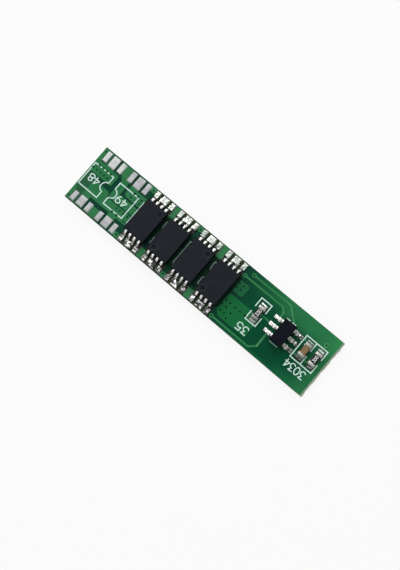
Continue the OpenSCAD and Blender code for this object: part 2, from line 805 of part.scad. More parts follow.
module control_ic_solder() {
    heel = ic_span / 2 - ic_foot;
    toe = ic_span / 2;
    color("silver") difference() {
        translate([end_x(ic_from_end), end_y(ic_from_end), pad_z]) rotate(90)
            for (s = [0, 1], k = [-1:1]) mirror([0, s, 0]) translate([k * ic_pitch, 0, 0])
                solder_on_pad(ic_pad_w - 2 * solder_back, ic_pad_in, ic_pad_out, 0.3,
                    joint_section(ic_pad_in + solder_back, heel, toe, ic_pad_out - solder_back));
        at_control_ic() control_ic_lead_set();
    }
}

// ---- Chip parts: they lie across the board ----

module at_chip(from_end, lay) {
    translate([end_x(from_end) + lay[0], end_y(from_end) + lay[1], foot_z])
        rotate(lay[2]) children();
}

// Block of ceramic inside the caps
module chip_core(h) {
    translate([-chip_w / 2 + cap_t, -chip_l / 2 + cap_t, cap_t])
        cube([chip_w - 2 * cap_t, chip_l - 2 * cap_t, h - 2 * cap_t]);
}

// Metal caps over both ends, on all five faces
module chip_caps(h) {
    for (s = [0, 1]) mirror([0, s, 0]) difference() {
        translate([-chip_w / 2, chip_l / 2 - cap_l, 0]) cube([chip_w, cap_l, h]);
        chip_core(h);
    }
}

// Glass coat on top of a resistor, between its caps
module chip_coat() {
    translate([-chip_w / 2 + cap_t, -chip_l / 2 + cap_l, resistor_h - cap_t])
        cube([chip_w - 2 * cap_t, chip_l - 2 * cap_l, coat_t]);
}

// Solder at both ends: a film below the cap and a fillet up its end face
module chip_joints(from_end, lay, h) {
    difference() {
        translate([end_x(from_end), end_y(from_end), pad_z]) for (s = [0, 1]) mirror([0, s, 0])
            solder_on_pad(chip_pad_w - 2 * solder_back, chip_pad_in, chip_pad_out, h * climb,
                concat([[chip_pad_in + solder_back, 0], [chip_pad_in + solder_back, film_t],
                    [chip_l / 2 - 2 * toe_lap, h * climb]],
                    fillet([chip_l / 2, h * climb - eps], [chip_pad_out - solder_back, rim_solder_h]),
                    [[chip_pad_out - solder_back, 0]]));
        at_chip(from_end, lay) translate([-chip_w / 2, -chip_l / 2, 0])
            cube([chip_w, chip_l, h]);
    }
}

module sense_resistor_body() {
    color("whitesmoke") at_chip(sense_from_end, sense_lay) chip_core(resistor_h);
}

module sense_resistor_coat() {
    color([0.06, 0.06, 0.07]) at_chip(sense_from_end, sense_lay) chip_coat();
}

module sense_resistor_ends() {
    color("lightgray") at_chip(sense_from_end, sense_lay) chip_caps(resistor_h);
}

module sense_resistor_solder() {
    color("silver") chip_joints(sense_from_end, sense_lay, resistor_h);
}

module supply_resistor_body() {
    color("whitesmoke") at_chip(supply_from_end, supply_lay) chip_core(resistor_h);
}

module supply_resistor_coat() {
    color([0.06, 0.06, 0.07]) at_chip(supply_from_end, supply_lay) chip_coat();
}

module supply_resistor_ends() {
    color("lightgray") at_chip(supply_from_end, supply_lay) chip_caps(resistor_h);
}

module supply_resistor_solder() {
    color("silver") chip_joints(supply_from_end, supply_lay, resistor_h);
}

module capacitor_body() {
    color([0.62, 0.49, 0.28]) at_chip(cap_from_end, capacitor_lay) chip_core(capacitor_h);
}

module capacitor_ends() {
    color("lightgray") at_chip(cap_from_end, capacitor_lay) chip_caps(capacitor_h);
}

module capacitor_solder() {
    color("silver") chip_joints(cap_from_end, capacitor_lay, capacitor_h);
}

laminate();
top_copper();
bottom_copper();
via_barrels();
top_mask();
bottom_mask();
top_legend();
empty_pad_tinning();
output_pad_tinning();
for (k = [1:4]) {
    mosfet_body(k);
    mosfet_leads(k);
    mosfet_solder(k);
}
control_ic_body();
control_ic_leads();
control_ic_solder();
sense_resistor_body();
sense_resistor_coat();
sense_resistor_ends();
sense_resistor_solder();
supply_resistor_body();
supply_resistor_coat();
supply_resistor_ends();
supply_resistor_solder();
capacitor_body();
capacitor_ends();
capacitor_solder();
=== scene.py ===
"""Battery protection board: finishes, solder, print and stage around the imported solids.

Metres throughout, in the frame of the solids: +X runs from the switch end to the
controller end and +Z points out of the component side. Lengths named in millimetres
are turned into metres with MM.
"""

import json
import math
import random

import bmesh
import bpy
from mathutils import Matrix, Vector, noise
from mathutils.bvhtree import BVHTree


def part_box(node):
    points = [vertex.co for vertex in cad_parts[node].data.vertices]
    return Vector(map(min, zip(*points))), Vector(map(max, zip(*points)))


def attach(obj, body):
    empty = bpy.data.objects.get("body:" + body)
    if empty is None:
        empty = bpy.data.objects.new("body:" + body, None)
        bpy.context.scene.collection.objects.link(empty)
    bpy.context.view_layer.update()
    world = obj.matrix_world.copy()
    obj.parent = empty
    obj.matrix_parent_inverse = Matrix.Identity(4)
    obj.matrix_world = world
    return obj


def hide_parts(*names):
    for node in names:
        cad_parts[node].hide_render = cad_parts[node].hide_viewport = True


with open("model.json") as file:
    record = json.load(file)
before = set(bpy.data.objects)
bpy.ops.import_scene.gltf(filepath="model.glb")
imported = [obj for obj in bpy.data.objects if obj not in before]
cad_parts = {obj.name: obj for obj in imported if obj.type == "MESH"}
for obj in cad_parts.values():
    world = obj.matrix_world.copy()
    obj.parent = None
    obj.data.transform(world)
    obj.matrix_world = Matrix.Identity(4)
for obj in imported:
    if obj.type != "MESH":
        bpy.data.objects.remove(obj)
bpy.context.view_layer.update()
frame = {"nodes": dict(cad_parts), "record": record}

NODES = frame["nodes"]
MM = 0.001

SWITCHES = ["mosfet_1", "mosfet_2", "mosfet_3", "mosfet_4"]
RESISTORS = ["sense_resistor", "supply_resistor"]
CHIPS = RESISTORS + ["capacitor"]

# Places along the board, in millimetres from its middle
SWITCH_PITCH = 3.53     # from one soldered switch to the next
SWITCHES_FROM = -9.765  # where the first one's stretch of the board starts
ROWS = (-9.7, 4.4)      # the rows of soldered pads
SWITCH_END = 4.8        # nothing of the switches lies beyond this
SENSE = (7.0, 9.4)      # the resistor beside the pour
FAR_CHIPS = 13.6        # the capacitor and the other resistor lie beyond this
CAPACITOR = (13.9, 15.3)

# Heights of the lacquer, in millimetres
TOP_BARE = 0.94
TOP_COPPER = 1.01
UNDER_BARE = 0.08
UNDER_COPPER = 0.01

# Heights of what carries the solder, in millimetres
LAND_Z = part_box("laminate")[1].z / MM
PAD_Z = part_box("empty_pad_tinning")[0].z / MM
COPPER = PAD_Z - LAND_Z
FOOT_TOP = 0.18         # top of a switch's foot above its pad

# Near black for flux, and for painted shade and dark reflections on the solder and the legs
SHADE_AND_FLUX_BLACK = (0.03, 0.028, 0.022)

# ---------------------------------------------------------------------------
# Finishes: shader maths as expressions
# ---------------------------------------------------------------------------


class Value:
    """A number that varies over a surface. Arithmetic on it adds Math nodes."""

    def __init__(self, finish, socket):
        self.finish = finish
        self.socket = socket

    def _math(self, operation, *terms):
        links = {i: t.socket if isinstance(t, Value) else t for i, t in enumerate(terms)}
        node = self.finish.node("ShaderNodeMath", {"operation": operation}, links)
        return Value(self.finish, node.outputs[0])

    def __add__(self, other):
        return self._math("ADD", self, other)

    __radd__ = __add__

    def __sub__(self, other):
        return self._math("SUBTRACT", self, other)

    def __rsub__(self, other):
        return self._math("SUBTRACT", other, self)

    def __mul__(self, other):
        return self._math("MULTIPLY", self, other)

    __rmul__ = __mul__

    def __mod__(self, other):
        return self._math("MODULO", self, other)

    def __abs__(self):
        return self._math("ABSOLUTE", self)

    def least(self, other):
        """The smaller of two values."""
        return self._math("MINIMUM", self, other)

    def most(self, other):
        """The larger of two values; of two masks, either one."""
        return self._math("MAXIMUM", self, other)

    def step(self, low, high):
        """0 below low, 1 above high, smooth between; falls instead when low > high."""
        settings = {"interpolation_type": "SMOOTHSTEP"}
        if low > high:
            links = {"Value": self.socket, "From Min": high, "From Max": low,
                     "To Min": 1.0, "To Max": 0.0}
        else:
            links = {"Value": self.socket, "From Min": low, "From Max": high}
        node = self.finish.node("ShaderNodeMapRange", settings, links)
        return Value(self.finish, node.outputs["Result"])

    def between(self, low, high, soft=0.1):
        """1 from low to high, 0 outside, with the edges soft over that width inside."""
        return self.step(low, low + soft) * self.step(high, high - soft)


class Finish:
    """One material: a Principled shader with whatever feeds it."""

    def __init__(self, name, **constants):
        self.material = bpy.data.materials.new(name)
        self.material.use_nodes = True
        self.tree = self.material.node_tree
        self.tree.nodes.clear()
        self.output = self.tree.nodes.new("ShaderNodeOutputMaterial")
        self.shader = self.tree.nodes.new("ShaderNodeBsdfPrincipled")
        self.tree.links.new(self.shader.outputs[0], self.output.inputs["Surface"])
        for socket, value in constants.items():
            self.shader.inputs[socket.replace("_", " ")].default_value = value
        place = self.node("ShaderNodeTexCoord").outputs["Object"]
        scaled = self.node("ShaderNodeVectorMath", {"operation": "SCALE"},
                           {0: place, "Scale": 1 / MM})
        self.place = scaled.outputs[0]
        axes = self.node("ShaderNodeSeparateXYZ", {}, {0: self.place})
        self.x, self.y, self.z = (Value(self, s) for s in axes.outputs)

    def node(self, kind, settings=None, sockets=None):
        """Adds a node of any kind: its settings first, then values or links of its sockets."""
        node = self.tree.nodes.new(kind)
        for name, value in (settings or {}).items():
            setattr(node, name, value)
        for name, value in (sockets or {}).items():
            socket = node.inputs[name]
            if isinstance(value, Value):
                value = value.socket
            if isinstance(value, bpy.types.NodeSocket):
                self.tree.links.new(value, socket)
            else:
                socket.default_value = value
        return node

    def stretched(self, x, y, z):
        """Millimetre coordinates, each axis multiplied."""
        node = self.node("ShaderNodeVectorMath", {"operation": "MULTIPLY"},
                         {0: self.place, 1: (x, y, z)})
        return node.outputs[0]

    def grain(self, per_mm, detail=2.0, rough=0.5, place=None):
        """Cloudy noise from 0 to 1."""
        node = self.node("ShaderNodeTexNoise", {}, {
            "Vector": place or self.place, "Scale": per_mm,
            "Detail": detail, "Roughness": rough})
        return Value(self, node.outputs["Fac"])

    def cells(self, per_mm, place=None):
        """Distance from the nearest point of a scatter."""
        node = self.node("ShaderNodeTexVoronoi", {"feature": "F1"},
                         {"Vector": place or self.place, "Scale": per_mm})
        return Value(self, node.outputs["Distance"])

    def mix(self, mask, first, second):
        """Colour that goes from first to second as the mask goes from 0 to 1."""
        node = self.node("ShaderNodeMix", {"data_type": "RGBA"},
                         {0: mask, 6: self._colour(first), 7: self._colour(second)})
        return node.outputs[2]

    @staticmethod
    def _colour(colour):
        return colour if isinstance(colour, bpy.types.NodeSocket) else (*colour, 1)

    def set(self, **sockets):
        """Values, colours or links for the shader's own sockets."""
        for name, value in sockets.items():
            socket = self.shader.inputs[name.replace("_", " ")]
            if isinstance(value, Value):
                value = value.socket
            if isinstance(value, bpy.types.NodeSocket):
                self.tree.links.new(value, socket)
            else:
                socket.default_value = (*value, 1) if isinstance(value, tuple) else value
        return self

    def bump(self, height, depth_mm):
        """Relief of the given depth where height goes from 0 to 1."""
        node = self.node("ShaderNodeBump", {}, {
            "Height": height, "Distance": depth_mm * MM, "Strength": 1.0})
        self.tree.links.new(node.outputs[0], self.shader.inputs["Normal"])
        return self


def along_switch(f):
    """Place along a soldered switch's own stretch of the board, from 0 to the pitch."""
    return (f.x - SWITCHES_FROM) % SWITCH_PITCH


def under_shade(f, start):
    """Mask of what lies between the bodies of the switches, from start on."""
    return abs(f.y).step(2.2, 1.95) * f.x.between(start, ROWS[1])


def greens_and_sheen_by_place(f, bare, copper):
    """How the lacquer's two greens change over the top of the board, by place. The paler high
    side and far end are a painted sheen; the other patches are paler or darker as given.
    """
    bare = f.mix(f.x.step(-15.8, -16.0) * 0.8, bare, (0.030, 0.140, 0.062))
    # Painted sheen: paler along the high side, more so towards the far end
    high_side = f.y.step(1.4, 3.4).most(f.y.step(0.8, 2.6) * f.x.step(8.8, 11.0))
    plain = f.mix(high_side * (0.45 + f.x.step(7.0, 10.5) * 0.55),
                  (0.000, 0.078, 0.032), (0.025, 0.218, 0.077))
    low_edge = f.y.step(-2.2, -3.6) * f.x.step(12.2, 14.0)
    low_edge = low_edge.most(f.y.step(-3.3, -3.6) * 0.7)
    plain = f.mix(low_edge * 0.6, plain, (0.012, 0.185, 0.066))
    # Painted sheen: paler towards the far end, most in the high corner
    plain = f.mix(f.x.step(14.2, 17.3) * 0.7, plain, (0.034, 0.240, 0.086))
    corner = f.x.step(15.4, 17.2) * f.y.step(1.0, 3.4)
    plain = f.mix(corner * 0.6, plain, (0.044, 0.350, 0.092))
    bare = f.mix(f.x.step(4.2, 7.5), bare, plain)
    copper = f.mix(abs(f.y).step(2.1, 2.4) * 0.6, copper, (0.050, 0.250, 0.092))
    copper = f.mix(f.x.step(3.6, 4.8), copper, (0.038, 0.245, 0.088))
    # Painted sheen on the copper towards the high side of the far end
    copper = f.mix(f.x.step(9.0, 11.0) * f.y.step(1.0, 2.0), copper, (0.070, 0.330, 0.130))
    pour = f.x.step(3.5, 4.0) * f.x.step(9.4, 9.1) * f.y.step(0.3, 0.1) * f.y.step(-3.1, -2.95)
    copper = f.mix(pour, copper, (0.010, 0.168, 0.050))
    land = f.x.step(3.5, 4.0) * f.x.step(6.1, 5.9) * f.y.step(0.1, 0.3) * f.y.step(2.3, 2.1)
    return bare, f.mix(land, copper, (0.016, 0.148, 0.056))


def shade_glint_and_flux(f, colour):
    """Painted shade, a painted glint and burnt flux spots in the lacquer on top of the board."""
    # Hardly any light gets down between the bodies of the switches
    colour = f.mix(under_shade(f, ROWS[0]) * 0.92, colour, (0.004, 0.016, 0.013))
    # Painted glint along the outer edge of the track to the controller, brightest at its low end
    painted_glint = abs(f.x - 10.35).step(0.055, 0.02) * f.y.step(-2.74, -2.66) * f.y.step(-1.2, -1.8)
    colour = f.mix(painted_glint * (0.35 + f.y.step(-2.2, -2.7) * 0.6), colour, (0.42, 0.72, 0.46))
    # Brown flux left between the pads of the soldered switches
    rows = abs(f.y).step(2.15, 2.45) * f.x.between(*ROWS)
    inside = abs(along_switch(f) - SWITCH_PITCH / 2).step(1.2, 1.0)
    overlay = rows * inside * f.grain(3.2, 3.0, 0.6).step(0.36, 0.55)
    return f.mix(overlay * 0.8, colour, (0.085, 0.085, 0.030))


def lacquer(name, bare_z, copper_z):
    """Green lacquer: dark over bare laminate, paler where it lies on copper."""
    f = Finish(name, IOR=1.5, Specular_IOR_Level=0.065)
    climb = copper_z - bare_z
    rise = f.z.step(bare_z + 0.2 * climb, bare_z + 0.8 * climb)
    broad = f.grain(0.22, 2.0)
    fine = f.grain(2.6, 3.0, 0.6)
    bare = f.mix(broad.step(0.3, 0.7), (0.000, 0.042, 0.026), (0.002, 0.064, 0.034))
    copper = f.mix(broad.step(0.35, 0.65), (0.018, 0.185, 0.055), (0.038, 0.222, 0.086))
    faces_up = climb > 0
    if faces_up:
        bare, copper = greens_and_sheen_by_place(f, bare, copper)
    colour = f.mix(rise, bare, copper)
    if faces_up:
        colour = shade_glint_and_flux(f, colour)
    f.set(Base_Color=f.mix(fine.step(0.2, 0.9) * 0.12, colour, (0.01, 0.12, 0.05)),
          Roughness=0.34 + fine * 0.14)
    return f.bump(f.grain(1.3, 3.0) * 0.7 + fine * 0.3, 0.012)


def glass_epoxy():
    """Cut edge of woven glass in resin: thin layers, chalky where it was snapped."""
    f = Finish("glass_epoxy", IOR=1.5)
    layers = f.grain(1.0, 2.0, 0.6, f.stretched(0.8, 0.8, 16))
    chalk = f.grain(7.0, 4.0, 0.65)
    tufts = f.cells(5.5, f.stretched(1, 1, 2.5))
    base = f.mix(layers.step(0.35, 0.65), (0.36, 0.49, 0.33), (0.50, 0.63, 0.46))
    base = f.mix(chalk.step(0.42, 0.72), base, (0.68, 0.77, 0.64))
    green = tufts.step(0.12, 0.0) * 0.35
    base = f.mix(green, base, (0.12, 0.25, 0.10))
    # Lacquer soaked into the cut edges and painted shade darken them, all but the snapped far
    # end
    web = abs(f.z - 0.51)
    soaked_and_shaded = f.x.step(16.9, 16.6) * (web.step(0.16, 0.3) * 0.55 + 0.42)
    f.set(Base_Color=f.mix(soaked_and_shaded, base, (0.022, 0.055, 0.030)), Roughness=0.72 + chalk * 0.2)
    return f.bump(layers * 0.5 + chalk * 0.5, 0.03)


def copper_metal():
    """Etched copper: bare at the cut edges, tinned and lacquered round the pads."""
    f = Finish("copper", Metallic=1.0)
    cloud = f.grain(3.0, 3.0)
    metal = f.mix(cloud.step(0.3, 0.7), (0.50, 0.25, 0.14), (0.70, 0.40, 0.26))
    # A trace of tin where the lacquer leaves the copper open round the pads
    tinned = 1 - abs(f.y).step(2.1, 2.0) * f.x.step(7.2, 7.0)
    metal = f.mix(tinned, metal, (0.30, 0.29, 0.27))
    # Lacquer over the outer ends of the empty pads
    lapped = abs(f.y).step(3.46, 3.5) * f.x.step(-9.7, -9.8)
    f.set(Base_Color=f.mix(lapped, metal, (0.040, 0.215, 0.080)), Metallic=1 - lapped,
          Roughness=0.3 + cloud * 0.3)
    return f.bump(cloud, 0.01)


def via_plating():
    """Walls of the vias: dull copper under a skin of lacquer."""
    f = Finish("via_plating", IOR=1.5, Metallic=0.2)
    cloud = f.grain(3.0, 3.0)
    f.set(Base_Color=f.mix(cloud.step(0.3, 0.7), (0.020, 0.085, 0.045), (0.045, 0.110, 0.055)),
          Roughness=0.5 + cloud * 0.2)
    return f.bump(cloud, 0.01)


def via_skin():
    """Lacquer run down into the mouth of a via: dark, glossy, a little uneven."""
    f = Finish("via_skin", IOR=1.5, Specular_IOR_Level=0.1)
    cloud = f.grain(5.0, 3.0)
    skin = f.mix(cloud.step(0.3, 0.7), (0.0005, 0.022, 0.013), (0.002, 0.040, 0.021))
    # The row under the first printed box is nearly filled
    filled = abs(f.y - 1.66).step(0.16, 0.12) * f.x.step(-14.7, -14.8)
    f.set(Base_Color=f.mix(filled * 0.7, skin, (0.016, 0.120, 0.055)),
          Roughness=0.35 + cloud * 0.15)
    return f.bump(cloud, 0.01)


def legend_ink():
    """Pale mint ink, thinner in small patches."""
    f = Finish("legend_ink", IOR=1.45)
    thin = f.grain(9.0, 3.0, 0.6).step(0.52, 0.8)
    ink = f.mix(thin * 0.35, (0.76, 0.99, 0.91), (0.34, 0.60, 0.47))
    # The lines between the bodies, from the first body on, lie in deep shade
    f.set(Base_Color=f.mix(under_shade(f, -7.3) * 0.72, ink, (0.07, 0.11, 0.10)),
          Roughness=0.62 + thin * 0.2)
    return f.bump(f.grain(14.0, 3.0), 0.012)


def marking_ink():
    """White print on a resistor's coat."""
    f = Finish("marking_ink", IOR=1.45)
    thin = f.grain(14.0, 3.0, 0.6)
    f.set(Base_Color=f.mix(thin.step(0.4, 0.8), (0.86, 0.87, 0.86), (0.60, 0.61, 0.61)),
          Roughness=0.5 + thin * 0.2)
    return f.bump(thin, 0.006)


def levelled_tin():
    """Air-levelled tin on a bare pad: satin, faintly lilac, with small scuffs."""
    f = Finish("pad_tin", Metallic=0.75)
    cloud = f.grain(1.6, 3.0, 0.6)
    grit = f.grain(11.0, 4.0, 0.7)
    scuff = f.grain(1.5, 2.0, 0.5, f.stretched(1.0, 0.8, 1.0)).step(0.66, 0.76)
    base = f.mix(cloud.step(0.35, 0.7), (0.47, 0.475, 0.50), (0.58, 0.595, 0.595))
    # Painted highlight: paler on the high pads at the left end
    base = f.mix(f.y.step(0.0, 1.0) * f.x.step(-13.0, -14.0) * 0.6, base, (0.72, 0.75, 0.71))
    f.set(Base_Color=f.mix(scuff * 0.35, base, (0.24, 0.23, 0.24)),
          Roughness=0.46 + grit * 0.16 + scuff * 0.15)
    return f.bump(grit * 0.3 + cloud * 0.7, 0.012)


def on_switches(f):
    """Mask of the end of the board that carries the switches."""
    return f.x.step(SWITCH_END + 0.2, SWITCH_END)


def heel_dark_reflection(f):
    """Painted dark reflection: a line across the legs of the switches where their feet go into
    the solder.
    """
    waver = f.grain(4.0, 2.0) * 0.16 - 0.08
    heel = 2.79 - f.y.step(-0.1, 0.1) * 0.09
    return abs(abs(f.y) + waver - heel).step(0.085, 0.05) * on_switches(f)


def switch_flux_and_shade(f, cloud):
    """Black on the switches' solder: partly flux and partly painted shade in the hollows between
    the legs, a painted dark reflection at their heels, and partly flux and partly painted dark
    reflection on the low row.
    """
    switches = on_switches(f)
    # Partly flux, partly painted shade: what lies low between the legs, near the bodies
    hollow = (f.z + (cloud - 0.5) * 0.05).step(1.12, 1.07) * switches
    # In the low row, partly flux and partly painted dark reflection: the first pad of each
    # switch is darkened less than the others, and the first and the last pad are bright along
    # their legs only
    along = along_switch(f)
    first = along.step(1.12, 1.0)
    last = along.step(2.4, 2.5)
    aside = abs(along - 0.7).least(abs(along - 2.8)) + (cloud - 0.5) * 0.25
    sides = aside.step(0.14, 0.27) * first.most(last) * 0.75
    blots = f.grain(2.7, 2.0, 0.5).step(0.48, 0.53) * (1 - first * 0.35)
    low_row = blots.most(sides) * f.y.step(-2.7, -2.85)
    return hollow.most(heel_dark_reflection(f)).most(low_row * 0.95)


def dulled_ends(f, metal):
    """Brown flux on the controller's far pads and dull joints at the ends of the chips."""
    burnt = f.grain(3.6, 2.0, 0.5).step(0.42, 0.56)
    far_pads = f.x.step(12.86, 13.0) * f.x.step(FAR_CHIPS, FAR_CHIPS - 0.1)
    metal = f.mix(far_pads * (0.2 + burnt * 0.65), metal, (0.075, 0.065, 0.052))
    far_chips = f.x.step(FAR_CHIPS, FAR_CHIPS + 0.1)
    low_ends = f.y.step(-0.5, -0.6) * far_chips.most(f.x.between(SENSE[0], 10.0))
    metal = f.mix(low_ends * (0.45 + burnt * 0.3 + far_chips * 0.25), metal, (0.08, 0.08, 0.066))
    high_ends = f.y.step(0.9, 1.0) * (far_chips * 0.8).most(f.x.between(*SENSE) * 0.4)
    return f.mix(high_ends, metal, (0.30, 0.38, 0.34))


def solder_metal():
    """Bright solder, greyer in the high row, dulled by flux and darkened by painted shade and
    dark reflections in its hollows, at the heels and on the low row.
    """
    f = Finish("solder", Metallic=1.0)
    cloud = f.grain(3.0, 3.0, 0.6)
    frost = f.grain(16.0, 4.0, 0.7)
    # Partly flux, partly painted shade and dark reflection
    overlay = switch_flux_and_shade(f, cloud)
    bright = f.mix(cloud.step(0.32, 0.6), (0.70, 0.71, 0.68), (0.95, 0.96, 0.94))
    grey = f.mix(cloud.step(0.36, 0.56), (0.40, 0.45, 0.40), (0.76, 0.81, 0.75))
    metal = f.mix(f.y.step(2.2, 2.4) * on_switches(f), bright, grey)
    f.set(Base_Color=f.mix(overlay, dulled_ends(f, metal), SHADE_AND_FLUX_BLACK),
          Metallic=1 - overlay * 0.6, Roughness=0.18 + frost * 0.2 + overlay * 0.15)
    return f.bump(frost * 0.2 + cloud * 0.8, 0.014)


def tinned_lead():
    """Plated lead metal with fine rolling lines, black where the feet enter the solder: a
    painted dark reflection.
    """
    f = Finish("lead_metal", Metallic=1.0)
    lines = f.grain(6.0, 2.0, 0.5, f.stretched(3.0, 0.5, 0.5))
    cloud = f.grain(4.0, 3.0)
    plate = f.mix(cloud.step(0.35, 0.7), (0.76, 0.75, 0.73), (0.93, 0.93, 0.92))
    f.set(Base_Color=f.mix(heel_dark_reflection(f) * 0.9, plate, SHADE_AND_FLUX_BLACK),
          Roughness=0.26 + lines * 0.14)
    return f.bump(lines, 0.006)


def moulding(name, dark, pale, rough, top, shade, dimples=()):
    """Black filled epoxy with fine matt grain and faint clouds. Painted shade darkens what lies
    a little below the top, the dimples above all, by the share given as shade, and each dimple
    has a painted highlight ring."""
    f = Finish(name, IOR=1.5, Specular_IOR_Level=0.1)
    grit = f.grain(22.0, 4.0, 0.7)
    cloud = f.grain(0.9, 3.0, 0.6)
    specks = f.cells(9.0).step(0.1, 0.0)
    base = f.mix(cloud.step(0.3, 0.75), dark, pale)
    base = f.mix(specks * 0.25, base, tuple(2.2 * c for c in pale))
    # Painted highlight: a paler ring round each dimple
    for cx, cy in dimples:
        dx, dy = f.x - cx, f.y - cy
        reach = dx * dx + dy * dy
        base = f.mix(reach.step(0.07, 0.09) * reach.step(0.145, 0.115) * 0.7, base,
                     tuple(3.4 * c for c in pale))
    # Painted shade on what lies a little below the top
    sunk_shade = (f.z - top).step(-0.03, -0.06) * (f.z - top).step(-0.13, -0.10)
    f.set(Base_Color=f.mix(sunk_shade * shade, base, tuple(0.2 * c for c in dark)),
          Roughness=rough + grit * 0.12 - sunk_shade * 0.15)
    return f.bump((grit * 0.8 + cloud * 0.2) * (1 - sunk_shade), 0.012)


def alumina():
    """White ceramic of a resistor's body."""
    f = Finish("resistor_ceramic", IOR=1.7)
    grit = f.grain(18.0, 3.0, 0.7)
    f.set(Base_Color=f.mix(grit.step(0.3, 0.7), (0.74, 0.73, 0.69), (0.84, 0.83, 0.80)),
          Roughness=0.55 + grit * 0.1)
    return f.bump(grit, 0.006)


def glass_coat():
    """Black overglaze of a resistor, with pits and a soft sheen."""
    f = Finish("resistor_coat", IOR=1.55, Specular_IOR_Level=0.15)
    cloud = f.grain(5.0, 3.0, 0.6)
    f.set(Base_Color=f.mix(cloud.step(0.3, 0.8), (0.006, 0.006, 0.008), (0.018, 0.018, 0.020)),
          Roughness=0.3 + cloud * 0.15)
    return f.bump(cloud, 0.01)


def brown_ceramic():
    """Tan ceramic of the capacitor, speckled paler."""
    f = Finish("capacitor_ceramic", IOR=1.6)
    cloud = f.grain(2.4, 3.0, 0.6)
    grit = f.grain(20.0, 3.0, 0.7)
    base = f.mix(cloud.step(0.3, 0.7), (0.215, 0.122, 0.036), (0.30, 0.18, 0.066))
    f.set(Base_Color=f.mix(grit.step(0.6, 0.9) * 0.4, base, (0.46, 0.33, 0.16)),
          Roughness=0.42 + grit * 0.15)
    return f.bump(grit * 0.6 + cloud * 0.4, 0.01)


def cap_metal():
    """Plated ends of the chips, slightly matt."""
    f = Finish("cap_metal", Metallic=0.9)
    cloud = f.grain(5.0, 3.0, 0.6)
    grit = f.grain(16.0, 3.0, 0.7)
    metal = f.mix(cloud.step(0.3, 0.7), (0.60, 0.58, 0.52), (0.86, 0.86, 0.81))
    # Duller on the capacitor, and on the low end of the resistor beside the pour
    metal = f.mix(f.x.between(*CAPACITOR) * 0.6, metal, (0.46, 0.46, 0.38))
    dull_end = f.x.step(9.6, 9.5) * f.y.step(0.2, 0.1)
    f.set(Base_Color=f.mix(dull_end * 0.75, metal, (0.26, 0.28, 0.27)),
          Roughness=0.34 + grit * 0.2)
    return f.bump(cloud * 0.6 + grit * 0.4, 0.02)


def top_of(node):
    """Height of a node's top, in millimetres."""
    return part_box(node)[1].z / MM


def dimple_of(node):
    """Centre of the dimple in a body's top, in millimetres."""
    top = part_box(node)[1].z
    floor = [v.co / MM for v in NODES[node].data.vertices if 0.03 < (top - v.co.z) / MM < 0.12]
    return (sum(v.x for v in floor) / len(floor), sum(v.y for v in floor) / len(floor))


FINISHES = {
    "glass_epoxy": glass_epoxy(),
    "copper": copper_metal(),
    "via_plating": via_plating(),
    "via_skin": via_skin(),
    "top_lacquer": lacquer("top_lacquer", TOP_BARE, TOP_COPPER),
    "under_lacquer": lacquer("under_lacquer", UNDER_BARE, UNDER_COPPER),
    "legend_ink": legend_ink(),
    "marking_ink": marking_ink(),
    "pad_tin": levelled_tin(),
    "solder": solder_metal(),
    "lead_metal": tinned_lead(),
    "switch_moulding": moulding("switch_moulding", (0.0130, 0.0160, 0.0215),
                                (0.0165, 0.0195, 0.0255), 0.5,
                                top_of("mosfet_1_body"), 0.8,
                                [dimple_of(s + "_body") for s in SWITCHES]),
    "controller_moulding": moulding("controller_moulding", (0.0030, 0.0040, 0.0110),
                                    (0.0060, 0.0070, 0.0150), 0.45,
                                    top_of("control_ic_body"), 0.25),
    "resistor_ceramic": alumina(),
    "resistor_coat": glass_coat(),
    "capacitor_ceramic": brown_ceramic(),
    "cap_metal": cap_metal(),
}


def finish_of(node, slot):
    """Name of the finish of a node: its slot's, but the lacquer has one for each side."""
    if slot == "solder_mask":
        return "top_lacquer" if node == "top_mask" else "under_lacquer"
    return slot


NODE_SLOTS = {row["node"]: row["material_slot"] for row in frame["record"]["subparts"]}
for node_name, slot_name in NODE_SLOTS.items():
    cad_object = NODES[node_name]
    material = FINISHES[finish_of(node_name, slot_name)].material
    for material_slot in cad_object.material_slots:
        material_slot.link = "OBJECT"
        material_slot.material = material

# ---------------------------------------------------------------------------
# Pieces
# ---------------------------------------------------------------------------


def add_piece(name, mesh, slot, replaced=(), smooth=35, finish=None):
    """Makes a mesh, in metres, one piece of the board that stands for the replaced nodes.
    Edges flatter than smooth, in degrees, are shaded as round."""
    piece = bpy.data.objects.new(name, mesh)
    bpy.context.scene.collection.objects.link(piece)
    mesh.materials.clear()
    mesh.materials.append(FINISHES[finish or slot].material)
    mesh.polygons.foreach_set("use_smooth", [True] * len(mesh.polygons))
    mesh.set_sharp_from_angle(angle=math.radians(smooth))
    level = piece.modifiers.new("level_shading", "WEIGHTED_NORMAL")
    level.keep_sharp = True
    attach(piece, "root")
    if replaced:
        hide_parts(*replaced)
    return piece


def to_mesh(name, bm):
    """Turns a bmesh in millimetres into a mesh in metres."""
    bmesh.ops.scale(bm, vec=(MM, MM, MM), verts=bm.verts)
    mesh = bpy.data.meshes.new(name)
    bm.to_mesh(mesh)
    bm.free()
    return mesh


def solid_of(node):
    """A node's solid in millimetres, with flat faces whole again."""
    bm = bmesh.new()
    bm.from_mesh(NODES[node].data)
    bmesh.ops.scale(bm, vec=(1 / MM, 1 / MM, 1 / MM), verts=bm.verts)
    bmesh.ops.remove_doubles(bm, verts=bm.verts, dist=1e-4)
    bmesh.ops.dissolve_limit(bm, angle_limit=math.radians(1.5), verts=bm.verts, edges=bm.edges)
    return bm


